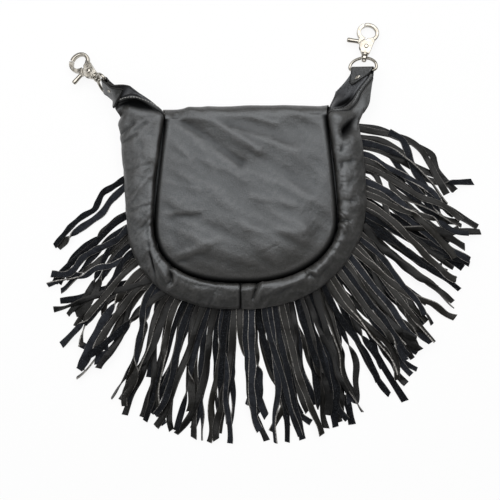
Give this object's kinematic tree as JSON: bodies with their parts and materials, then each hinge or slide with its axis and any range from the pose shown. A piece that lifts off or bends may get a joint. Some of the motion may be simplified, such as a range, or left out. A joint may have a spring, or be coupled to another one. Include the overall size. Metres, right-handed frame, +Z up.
{
  "type": "fringed leather hip bag",
  "caption": "Flat U-shaped leather hip bag with a fold-over flap, a puffed gusset, two layers of long fringe and two swivel clasps on its ears.",
  "frame": {"origin": "middle of the flap's outer face, which the bag lies on", "axes": "+X to the right and +Y towards the fold as one looks down on the back panel, +Z up"},
  "size_m": [0.4357, 0.4245, 0.0382],
  "materials": {
    "black_leather": "smooth grain leather, soft sheen",
    "fringe_leather": "thin cut leather, grain side black, flesh side grey suede",
    "nickel": "nickel plate, polished",
    "steel": "plain steel"
  },
  "bodies": {
    "bag": {"back_panel_and_flap": "black_leather", "front_panel": "black_leather", "gusset_left": "black_leather", "gusset_right": "black_leather", "seam_piping": "black_leather", "fringe_upper": "fringe_leather", "fringe_lower": "fringe_leather", "snap_socket": "steel", "snap_stud": "steel", "hanger_tab_left": "black_leather", "hanger_tab_right": "black_leather", "tab_rivet_left": "nickel", "tab_rivet_right": "nickel"},
    "eye_right": {"swivel_eye_right": "nickel"},
    "hook_right": {"hook_body_right": "nickel", "swivel_post_right": "nickel", "pivot_rivet_right": "nickel", "trigger_spring_right": "steel"},
    "gate_right": {"trigger_right": "nickel"},
    "eye_left": {"swivel_eye_left": "nickel"},
    "hook_left": {"hook_body_left": "nickel", "swivel_post_left": "nickel", "pivot_rivet_left": "nickel", "trigger_spring_left": "steel"},
    "gate_left": {"trigger_left": "nickel"}
  },
  "joints": [
    {"name": "eye_swing_right", "type": "hinge", "parent": "bag", "child": "eye_right", "pos_m": [0.1154, 0.1282, 0.009], "axis": [0.881, -0.0816, 0.466], "range_deg": [-90, 90]},
    {"name": "swivel_right", "type": "hinge", "parent": "eye_right", "child": "hook_right", "pos_m": [0.1154, 0.1282, 0.009], "axis": [0.1553, 0.9803, -0.1219], "continuous": true},
    {"name": "trigger_press_right", "type": "hinge", "parent": "hook_right", "child": "gate_right", "pos_m": [0.11913, 0.15173, 0.00607], "axis": [0.0191, 0.1204, 0.9925], "range_deg": [0, 30], "stiffness_Nm_per_rad": 0.01, "springref_deg": -28.65},
    {"name": "eye_swing_left", "type": "hinge", "parent": "bag", "child": "eye_left", "pos_m": [-0.1377, 0.111, 0.016], "axis": [0.0444, 0.422, 0.9055], "range_deg": [-90, 90]},
    {"name": "swivel_left", "type": "hinge", "parent": "eye_left", "child": "hook_left", "pos_m": [-0.1377, 0.111, 0.016], "axis": [-0.7127, 0.6485, -0.2672], "continuous": true},
    {"name": "trigger_press_left", "type": "hinge", "parent": "hook_left", "child": "gate_left", "pos_m": [-0.15481, 0.12657, 0.00959], "axis": [-0.1977, 0.1799, 0.9636], "range_deg": [0, 30], "stiffness_Nm_per_rad": 0.01, "springref_deg": -28.65}
  ]
}
